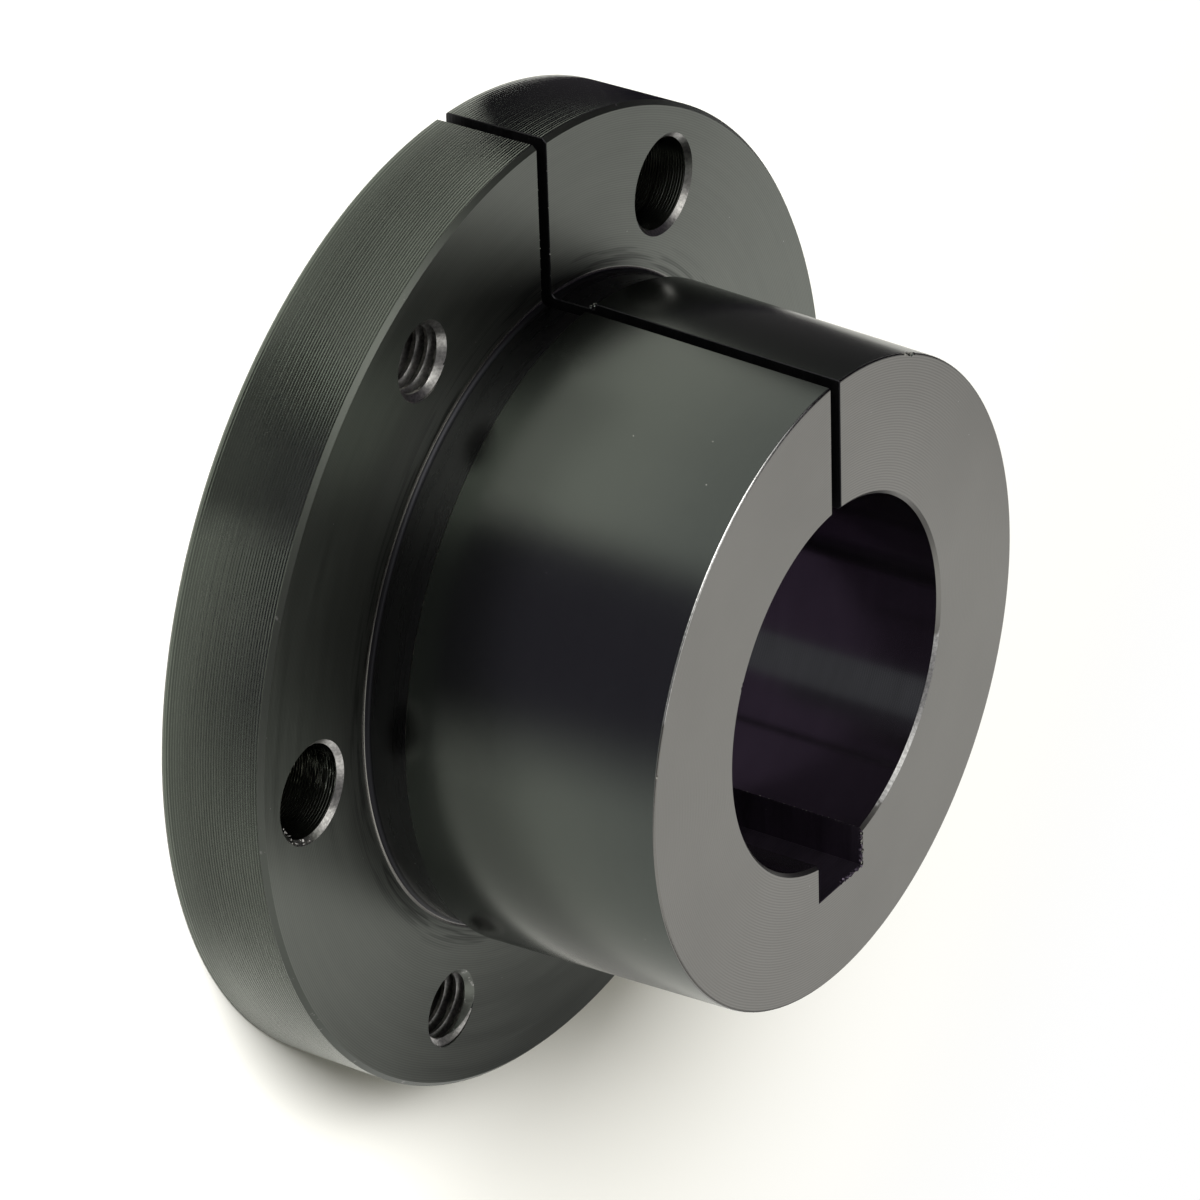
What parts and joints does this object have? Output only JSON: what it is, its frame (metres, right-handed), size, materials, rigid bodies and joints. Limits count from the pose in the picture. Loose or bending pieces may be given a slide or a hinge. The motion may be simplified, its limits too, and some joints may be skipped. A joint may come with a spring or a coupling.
{
  "type": "quick disconnect bushing",
  "caption": "Split, tapered, flanged shaft bushing with a keyway and a ring of plain and tapped holes that draw it into a matching tapered hub.",
  "frame": {"origin": "centre of the flange's back face, on the bore's axis", "axes": "+Z along the bore axis, from the flange to the nose; the split opens at -Y and the keyway lies at +Y"},
  "size_m": [0.1174, 0.1174, 0.0515],
  "materials": {
    "dark_machined_steel": "fine turned steel with a thin dark oxide film, brighter where edges are worn"
  },
  "bodies": {
    "root": {"bushing": "dark_machined_steel"}
  },
  "joints": []
}
